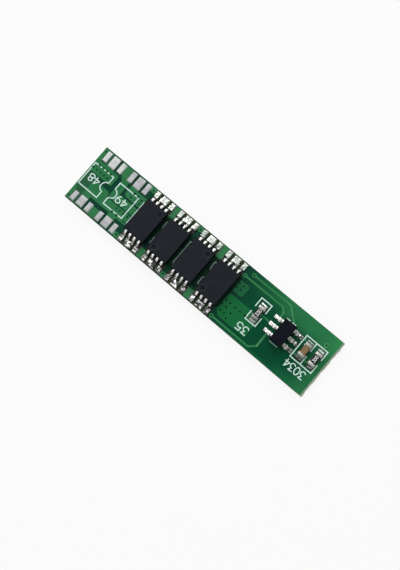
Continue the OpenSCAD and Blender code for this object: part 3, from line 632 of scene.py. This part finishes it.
def softened(node, radius, slot, sharpest=25, reshape=None):
    """Stands for a node, with its sharp edges rounded as moulding or plating leaves them.
    What else changes its shape is done first, by reshape(node, bm)."""
    bm = solid_of(node)
    if reshape:
        reshape(node, bm)
    limit = math.radians(sharpest)
    edges = [e for e in bm.edges if len(e.link_faces) == 2 and e.calc_face_angle(0) > limit
             and e.is_convex]
    bmesh.ops.bevel(bm, geom=edges, offset=radius, offset_type="OFFSET", segments=2,
                    profile=0.5, affect="EDGES", clamp_overlap=True)
    return add_piece(node + "_rounded", to_mesh(node + "_rounded", bm), slot, (node,))


def islands(node):
    """Boxes of a node's separate solids in millimetres, as (low, high) corners."""
    bm = solid_of(node)
    left = set(bm.verts)
    found = []
    while left:
        reached = [left.pop()]
        group = list(reached)
        while reached:
            vertex = reached.pop()
            for edge in vertex.link_edges:
                other = edge.other_vert(vertex)
                if other in left:
                    left.remove(other)
                    group.append(other)
                    reached.append(other)
        low = Vector([min(v.co[k] for v in group) for k in range(3)])
        high = Vector([max(v.co[k] for v in group) for k in range(3)])
        found.append((low, high))
    bm.free()
    return sorted(found, key=lambda b: (round(b[0].y, 1), b[0].x))


LEG_ROOT = 2.36    # a switch's leg is narrow from its body out to here
ROOT_WIDTH = 0.7   # as a share of the leg's width


def slim_roots(node, bm):
    """Narrows the legs of a switch where they leave its body."""
    legs = [(low + high) / 2 for low, high in islands(node)]
    for vertex in bm.verts:
        if abs(vertex.co.y) < LEG_ROOT:
            leg = min(legs, key=lambda c: (c - vertex.co).length)
            vertex.co.x = leg.x + (vertex.co.x - leg.x) * ROOT_WIDTH


for switch in SWITCHES:
    softened(switch + "_body", 0.045, "switch_moulding")
    softened(switch + "_leads", 0.02, "lead_metal", 50, slim_roots)
softened("control_ic_body", 0.05, "controller_moulding")
softened("control_ic_leads", 0.02, "lead_metal", 50)
for chip in CHIPS:
    softened(chip + "_ends", 0.035, "cap_metal")
softened("capacitor_body", 0.03, "capacitor_ceramic")
for chip in RESISTORS:
    softened(chip + "_coat", 0.015, "resistor_coat")

# ---------------------------------------------------------------------------
# Solder and tin
# ---------------------------------------------------------------------------

# In millimetres
THINNEST = 0.03    # away from its rim, a joint is never thinner than this
LAP = 0.022        # solder laps this far over the sides of its copper
UNDER_LAP = 0.034  # and the tin on the underside this far
RIM = 0.13         # a joint reaches its full height this far in from its rim
CHIP_RIM = 0.1     # a chip's joint
TIN_RIM = 0.15     # and tin
BESIDE = 0.2       # a foot may stand this far beside its pad

STEEP = 60         # edges of solder up to this angle, in degrees, are shaded as round


def relief(bm, low, high, floor_z, height, step=0.04):
    """Closed lump over a rectangle: its top stands height(x, y) above floor_z, and it is
    worked out on a grid with cells of about one step."""
    nx = max(6, round((high.x - low.x) / step))
    ny = max(6, round((high.y - low.y) / step))
    top, base = [], []
    for j in range(ny + 1):
        for i in range(nx + 1):
            x = low.x + (high.x - low.x) * i / nx
            y = low.y + (high.y - low.y) * j / ny
            top.append(bm.verts.new((x, y, floor_z + height(x, y))))
            base.append(bm.verts.new((x, y, floor_z)))
    row = nx + 1
    for j in range(ny):
        for i in range(nx):
            a = j * row + i
            b, c, d = a + 1, a + row + 1, a + row
            bm.faces.new((top[a], top[b], top[c], top[d]))
            bm.faces.new((base[d], base[c], base[b], base[a]))
    rim = list(range(row))
    rim += [j * row + nx for j in range(1, ny + 1)]
    rim += [ny * row + i for i in range(nx - 1, -1, -1)]
    rim += [j * row for j in range(ny - 1, 0, -1)]
    for p, q in zip(rim, rim[1:] + rim[:1]):
        bm.faces.new((base[p], base[q], top[q], top[p]))


def drift(rng):
    """Random place in the noise, so that no two joints are alike."""
    return Vector((rng.uniform(0, 50), rng.uniform(0, 50), 0))


def over_copper(low, high, lap=LAP):
    """The box of a pad's solder, widened over the sides of its copper."""
    lap = Vector((lap, lap, 0))
    return low - lap, high + lap


def swell(rim, width):
    """Rises from 0 at a pad's rim to 1 at the given width inside it, steep first."""
    t = min(max(rim / width, 0), 1)
    return (1 - (1 - t) ** 2.2) ** 0.6


def switch_joint(bm, low, high, feet, seed):
    """Solder on one pad of a switch: it drowns the feet and stops short at their heels.
    The feet are given by their x; the solder is smoother in the high row."""
    sign = 1 if low.y > 0 else -1
    heel, lumpy = (2.71, 0.03) if sign > 0 else (2.8, 0.1)
    rng = random.Random(seed)
    shift = drift(rng)
    low, high = over_copper(low, high)
    inner = low.y if sign > 0 else -high.y
    outer = high.y if sign > 0 else -low.y
    fill = FOOT_TOP + 0.01 + 0.25 * lumpy + 0.02 * rng.random()
    lean = rng.uniform(-0.06, 0.06)

    def height(x, y):
        v = abs(y)
        across = (x - low.x) / (high.x - low.x)
        rim = min(x - low.x, high.x - x, outer - v, v - inner)
        near = min(abs(x - fx) for fx in feet)
        rough = noise.noise(Vector((x * 3.2, y * 3.2, 0)) + shift)
        fine = noise.noise(Vector((x * 8.5, y * 8.5, 9)) + shift)
        wave = heel + 0.04 * noise.noise(Vector((x * 5, 0, 4)) + shift)
        past = min(max((v - wave + 0.05) / 0.12, 0), 1)
        past = past * past * (3 - 2 * past)
        wet = math.exp(-(max(near - 0.12, 0) / 0.06) ** 2)
        film = THINNEST + 0.05 * wet
        pool = fill * (1 + lean * 3 * (across - 0.5)) + lumpy * (rough + 0.4 * fine)
        return COPPER + (film * (1 - past) + max(pool, THINNEST) * past) * swell(rim, RIM)

    relief(bm, low, high, LAND_Z, height)


def feet_on(pad, legs):
    """Middle, along x, of each leg whose foot stands on a pad."""
    low, high = pad
    middles = [(a.x + b.x) / 2 for a, b in legs if (a.y + b.y) * low.y > 0]
    return [x for x in middles if low.x - BESIDE < x < high.x + BESIDE]


for k, switch in enumerate(SWITCHES):
    bm = bmesh.new()
    legs = islands(switch + "_leads")
    for p, pad in enumerate(islands(switch + "_solder")):
        switch_joint(bm, *pad, feet_on(pad, legs), 10 * k + p)
    name = switch + "_joints"
    add_piece(name, to_mesh(name, bm), "solder", (switch + "_solder",), STEEP)


def end_joint(bm, low, high, foot_x, seed):
    """Solder on one pad of the controller: a long fillet out from the foot. The feet's
    ends are given by their x; the solder on the far pads is lumpier."""
    rng = random.Random(seed)
    shift = drift(rng)
    low, high = over_copper(low, high)
    centre = sum(foot_x) / 2
    out = 1 if (low.x + high.x) / 2 > centre else -1
    toe = foot_x[1] if out > 0 else foot_x[0]
    lumpy = 0.12 if out > 0 else 0.04

    def height(x, y):
        rim = min(x - low.x, high.x - x, y - low.y, high.y - y)
        past = (x - toe) * out
        pool = 0.16 + 0.13 * math.exp(-max(past, 0) / 0.2)
        on_foot = 1 / (1 + math.exp(past / 0.025))
        h = 0.08 * on_foot + pool * (1 - on_foot)
        h += lumpy * noise.noise(Vector((x * 3.4, y * 3.4, 3)) + shift)
        h += 0.4 * lumpy * noise.noise(Vector((x * 8, y * 8, 5)) + shift)
        return COPPER + max(h, THINNEST) * swell(rim, RIM)

    relief(bm, low, high, LAND_Z, height)


bm = bmesh.new()
feet_ends = [corner.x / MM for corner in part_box("control_ic_leads")]
for p, (low, high) in enumerate(islands("control_ic_solder")):
    end_joint(bm, low, high, feet_ends, 100 + p)
add_piece("control_ic_joints", to_mesh("control_ic_joints", bm), "solder",
          ("control_ic_solder",), STEEP)


def chip_joint(bm, low, high, chip_low, chip_high, seed):
    """Solder at one end of a chip: a hollow fillet up the cap's end face."""
    rng = random.Random(seed)
    shift = drift(rng)
    low, high = over_copper(low, high)
    out = 1 if (low.y + high.y) > (chip_low.y + chip_high.y) else -1
    face = chip_high.y if out > 0 else chip_low.y
    reach = abs((high.y if out > 0 else low.y) - face)
    climb = 0.72 * (chip_high.z - PAD_Z)

    def height(x, y):
        rim = min(x - low.x, high.x - x, (high.y - y) if out > 0 else (y - low.y))
        past = (y - face) * out
        if past <= 0:
            under_cap = past < -0.02
            return COPPER + (THINNEST if under_cap else climb * 0.9) * swell(rim, CHIP_RIM)
        t = min(past / reach, 1)
        fall = (1 - t) ** 3 * climb + 0.1
        lump = 0.04 * noise.noise(Vector((x * 4, y * 4, 3)) + shift)
        return COPPER + (fall + lump) * swell(rim, CHIP_RIM)

    relief(bm, low, high, LAND_Z, height, 0.03)


for k, chip in enumerate(CHIPS):
    chip_low, chip_high = (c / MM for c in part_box(chip + "_ends"))
    bm = bmesh.new()
    for p, (low, high) in enumerate(islands(chip + "_solder")):
        chip_joint(bm, low, high, chip_low, chip_high, 200 + 10 * k + p)
    name = chip + "_joints"
    add_piece(name, to_mesh(name, bm), "solder", (chip + "_solder",), STEEP)


PAD_END = 3.53     # lacquer laps over the empty pads from here to the board's edge


def bare_pads(node, name, crown, upward):
    """Tin on bare pads, domed by surface tension: steep at the rim, nearly flat inside.
    It is made facing up and turned over for the pads on the underside."""
    bm = bmesh.new()
    for k, (low, high) in enumerate(islands(node)):
        shift = Vector((3.1 * k, 1.7 * k, 0))
        low, high = over_copper(low, high, 0.0 if upward else UNDER_LAP)
        if upward:
            low.y, high.y = max(low.y, -PAD_END), min(high.y, PAD_END)

        def height(x, y):
            rim = min(x - low.x, high.x - x, y - low.y, high.y - y)
            ripple = 0.006 * noise.noise(Vector((x * 1.6, y * 1.6, 0)) + shift)
            return COPPER + (crown + ripple) * swell(rim, TIN_RIM)

        relief(bm, low, high, 0, height, 0.045)
    if upward:
        bmesh.ops.translate(bm, vec=(0, 0, LAND_Z), verts=bm.verts)
    else:
        bmesh.ops.scale(bm, vec=(1, 1, -1), verts=bm.verts)
        bmesh.ops.reverse_faces(bm, faces=bm.faces)
        bmesh.ops.translate(bm, vec=(0, 0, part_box("laminate")[0].z / MM), verts=bm.verts)
    add_piece(name, to_mesh(name, bm), "pad_tin", (node,), STEEP)


bare_pads("empty_pad_tinning", "empty_pads", 0.036, True)
bare_pads("output_pad_tinning", "output_pads", 0.03, False)

# ---------------------------------------------------------------------------
# Lacquer in the vias
# ---------------------------------------------------------------------------

VIA_RADIUS = 0.108
VIA_SAG = 0.06
VIA_THICK = 0.015
VIA_RIM = 0.01     # the skin's rim lies this far above the end of the barrel


def dish(bm, centre, radius, rim_z, sag, thick, rings=4, around=20):
    """Round skin that sags between its rim and its middle."""
    layers = []
    for drop in (0, thick):
        middle = bm.verts.new((centre.x, centre.y, rim_z - sag - drop))
        circles = []
        for k in range(1, rings + 1):
            r = radius * k / rings
            z = rim_z - sag * (1 - (k / rings) ** 2) - drop
            angles = [2 * math.pi * i / around for i in range(around)]
            circles.append([bm.verts.new((centre.x + r * math.cos(a),
                                          centre.y + r * math.sin(a), z)) for a in angles])
        layers.append((middle, circles))
    for turn, (middle, circles) in zip((1, -1), layers):
        for i in range(around):
            j = (i + 1) % around
            bm.faces.new((middle, circles[0][i], circles[0][j])[::turn])
            for a, b in zip(circles, circles[1:]):
                bm.faces.new((a[i], b[i], b[j], a[j])[::turn])
    upper, lower = layers[0][1][-1], layers[1][1][-1]
    for i in range(around):
        j = (i + 1) % around
        bm.faces.new((upper[i], lower[i], lower[j], upper[j]))


bm = bmesh.new()
for low, high in islands("via_barrels"):
    dish(bm, (low + high) / 2, VIA_RADIUS, high.z + VIA_RIM, VIA_SAG, VIA_THICK)
add_piece("via_skins", to_mesh("via_skins", bm), "solder_mask", finish="via_skin")

# ---------------------------------------------------------------------------
# Printed numbers
# ---------------------------------------------------------------------------


def arc(cx, cy, rx, ry, start, end, count=14):
    """Points along an elliptic arc, in degrees from +X."""
    return [(cx + rx * math.cos(math.radians(start + (end - start) * k / count)),
             cy + ry * math.sin(math.radians(start + (end - start) * k / count)))
            for k in range(count + 1)]


DIGIT_WIDTH = 0.6   # where a digit is 1 high
DIGIT_SHARE = 0.78  # of its space in a number, the rest is the gap to the next one

# Strokes of each digit, from its low left corner
DIGITS = {
    "0": [arc(0.3, 0.5, 0.3, 0.5, 0, 360, 28)],
    "3": [[(0.03, 1.0), (0.55, 1.0), (0.26, 0.6)] + arc(0.28, 0.31, 0.3, 0.31, 75, -150)],
    "4": [[(0.44, 0.0), (0.44, 1.0), (0.0, 0.3), (0.62, 0.3)]],
    "5": [[(0.54, 1.0), (0.08, 1.0), (0.04, 0.56)] + arc(0.28, 0.32, 0.3, 0.32, 118, -150)],
    "8": [arc(0.3, 0.76, 0.23, 0.24, -90, 270, 22) + arc(0.3, 0.26, 0.29, 0.26, 90, -270, 22)],
    "9": [arc(0.3, 0.7, 0.28, 0.3, 0, 360, 22) + [(0.5, 0.3), (0.24, 0.0)]],
}

mask_tree = BVHTree.FromObject(NODES["top_mask"], bpy.context.evaluated_depsgraph_get())


def mask_height(x, y):
    """Lowest and highest lacquer close round a point, in millimetres."""
    found = []
    for dx, dy in ((0, 0), (0.035, 0), (-0.035, 0), (0, 0.035), (0, -0.035)):
        eye = Vector(((x + dx) * MM, (y + dy) * MM, 0.01))
        hit = mask_tree.ray_cast(eye, Vector((0, 0, -1)))[0]
        found.append(hit.z / MM if hit else TOP_BARE)
    return min(found), max(found)


def finer(points, step):
    """The same line with points no further apart than step."""
    out = [points[0]]
    for p, q in zip(points, points[1:]):
        n = max(1, math.ceil(math.dist(p, q) / step))
        out += [(p[0] + (q[0] - p[0]) * k / n, p[1] + (q[1] - p[1]) * k / n)
                for k in range(1, n + 1)]
    return out


def ink_stroke(bm, points, width, surface, thick):
    """Flat line of ink with round ends; it bridges the steps of the surface below it."""
    points = [Vector(p) for p in finer(points, width * 0.45)]
    half = width / 2
    ends = []
    for end, inner in ((points[0], points[1]), (points[-1], points[-2])):
        inward = (inner - end).normalized()
        ends.append([(end - inward * half * t, half * (1 - t * t) ** 0.5)
                     for t in (0.45, 0.8, 0.97)])
    line = ends[0][::-1] + [(p, half) for p in points] + ends[1]
    rows = []
    for k, (c, r) in enumerate(line):
        before = line[max(k - 1, 0)][0]
        after = line[min(k + 1, len(line) - 1)][0]
        d = (after - before).normalized()
        side = Vector((-d.y, d.x))
        row = []
        for t in (-1, 0, 1):
            p = c + side * r * t
            below, above = surface(p.x, p.y)
            # Thicker towards the end, so a line that crosses itself never lies in one plane
            rise = thick * (1 + 0.2 * k / len(line))
            row.append((bm.verts.new((p.x, p.y, above + rise)),
                        bm.verts.new((p.x, p.y, below))))
        rows.append(row)
    for a, b in zip(rows, rows[1:]):
        for k in (0, 1):
            bm.faces.new((a[k][0], b[k][0], b[k + 1][0], a[k + 1][0]))
            bm.faces.new((a[k + 1][1], b[k + 1][1], b[k][1], a[k][1]))
        bm.faces.new((a[0][0], a[0][1], b[0][1], b[0][0]))
        bm.faces.new((b[2][0], b[2][1], a[2][1], a[2][0]))
    for row, turn in ((rows[0], 1), (rows[-1], -1)):
        loop = [row[0][0], row[1][0], row[2][0], row[2][1], row[1][1], row[0][1]]
        bm.faces.new(loop[::turn])


def number(bm, text, centre, height, width, turn, stroke, surface, thick):
    """Digits in a row about a centre, turned by an angle in degrees."""
    pitch = width / len(text)
    across = pitch * DIGIT_SHARE / DIGIT_WIDTH
    c, s = math.cos(math.radians(turn)), math.sin(math.radians(turn))
    for k, digit in enumerate(text):
        for line in DIGITS[digit]:
            placed = []
            for u, v in line:
                x = (k + 0.5) * pitch - width / 2 + (u - DIGIT_WIDTH / 2) * across
                y = (v - 0.5) * (height - stroke)
                placed.append((centre[0] + c * x - s * y, centre[1] + s * x + c * y))
            ink_stroke(bm, placed, stroke, surface, thick)


LEGEND_STROKE = 0.125
LEGEND_INK = 0.02      # thickness of the ink on the board
COAT_INK = 0.01        # and on a resistor's coat
SUNK = 0.004           # the ink starts this far below the coat's top

bm = bmesh.new()
for text, centre, width in (("48", (-16.03, -0.1), 1.6), ("49", (-11.84, -0.06), 1.6),
                            ("35", (7.86, -2.2), 1.6), ("3034", (15.0, -1.92), 2.75)):
    number(bm, text, centre, 1.0, width, 180, LEGEND_STROKE, mask_height, LEGEND_INK)
add_piece("board_numbers", to_mesh("board_numbers", bm), "legend_ink")


def chip_digits(chip, text, height, width, stroke):
    """White digits across a resistor's coat."""
    low, high = (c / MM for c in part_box(chip + "_coat"))
    centre = ((low.x + high.x) / 2, (low.y + high.y) / 2)
    seat = high.z - SUNK
    bm = bmesh.new()
    number(bm, text, centre, height, width, 90, stroke, lambda x, y: (seat, seat), COAT_INK)
    add_piece(chip + "_digits", to_mesh(chip + "_digits", bm), "legend_ink",
              finish="marking_ink")


chip_digits("sense_resistor", "330", 0.46, 0.84, 0.075)
chip_digits("supply_resistor", "300", 0.42, 0.78, 0.07)

# ---------------------------------------------------------------------------
# Stage, light and camera
# ---------------------------------------------------------------------------


def stage_floor():
    """Pale sheet below the board. It keeps the shadow and is near white to the camera."""
    f = Finish("stage_paper", Roughness=0.9)
    f.set(Base_Color=f.mix(f.grain(0.2, 3.0).step(0.2, 0.8), (0.93, 0.93, 0.93),
                           (0.94, 0.94, 0.94)))
    ray = f.node("ShaderNodeLightPath")
    seen = Value(f, ray.outputs["Is Camera Ray"])
    for kind in ("Is Glossy Ray", "Is Transmission Ray"):
        seen = seen.most(Value(f, ray.outputs[kind]))
    glow = f.node("ShaderNodeEmission", {}, {"Color": (1, 1, 1, 1), "Strength": 1.0})
    blend = f.node("ShaderNodeMixShader", {},
                   {0: seen * 0.88, 1: f.shader.outputs[0], 2: glow.outputs[0]})
    f.tree.links.new(blend.outputs[0], f.output.inputs["Surface"])
    bm = bmesh.new()
    bmesh.ops.create_grid(bm, x_segments=2, y_segments=2, size=1200)
    bmesh.ops.translate(bm, vec=(0, 0, -0.01), verts=bm.verts)
    floor = bpy.data.objects.new("floor", to_mesh("floor", bm))
    bpy.context.scene.collection.objects.link(floor)
    floor.data.materials.append(f.material)


def aim(thing, eye, target, up):
    """Stands a camera or lamp at eye, looking at target, its top towards up."""
    eye, target, up = (Vector(v) * MM for v in (eye, target, up))
    back = (eye - target).normalized()
    right = up.cross(back).normalized()
    turn = Matrix((right, back.cross(right), back)).transposed().to_4x4()
    thing.matrix_world = Matrix.Translation(eye) @ turn


def softbox(name, eye, size, strength):
    """Square lamp that faces the board; strength is its brightness, whatever its size."""
    light = bpy.data.lights.new(name, "AREA")
    light.shape = "SQUARE"
    light.size = size * MM
    light.energy = strength * math.pi * (size * MM) ** 2
    lamp = bpy.data.objects.new(name, light)
    bpy.context.scene.collection.objects.link(lamp)
    aim(lamp, eye, (0, 0, 1), (0, 1, 0.01))


def studio():
    """Dim room that the camera sees as white, and four softboxes."""
    world = bpy.data.worlds.new("studio")
    world.use_nodes = True
    nodes, links = world.node_tree.nodes, world.node_tree.links
    nodes.clear()
    output = nodes.new("ShaderNodeOutputWorld")
    room = nodes.new("ShaderNodeBackground")
    room.inputs["Color"].default_value = (0.97, 0.98, 1.0, 1)
    room.inputs["Strength"].default_value = 0.24
    white = nodes.new("ShaderNodeBackground")
    white.inputs["Color"].default_value = (1, 1, 1, 1)
    white.inputs["Strength"].default_value = 1.0
    ray = nodes.new("ShaderNodeLightPath")
    choose = nodes.new("ShaderNodeMixShader")
    links.new(ray.outputs["Is Camera Ray"], choose.inputs[0])
    links.new(room.outputs[0], choose.inputs[1])
    links.new(white.outputs[0], choose.inputs[2])
    links.new(choose.outputs[0], output.inputs["Surface"])
    bpy.context.scene.world = world
    softbox("key_softbox", (-210, 130, 240), 240, 2.7)
    softbox("back_softbox", (-20, 270, 220), 240, 1.6)
    softbox("front_softbox", (0, -270, 230), 200, 1.3)
    softbox("top_softbox", (-70, 15, 330), 190, 0.9)


def camera():
    """Camera above the board, turned and shifted so that the board lies aslant."""
    data = bpy.data.cameras.new("camera")
    data.lens = 53.68
    data.sensor_width = 36
    data.shift_x = 0.0483
    data.shift_y = -0.0618
    data.clip_start = 0.005
    data.clip_end = 10
    eye = bpy.data.objects.new("camera", data)
    bpy.context.scene.collection.objects.link(eye)
    aim(eye, (13.232, -5.586, 94.753), (-3.722, -0.505, 0.99), (-0.63268, 0.75864, 0.15551))
    bpy.context.scene.camera = eye


stage_floor()
studio()
camera()
bpy.context.scene.view_settings.view_transform = "Standard"
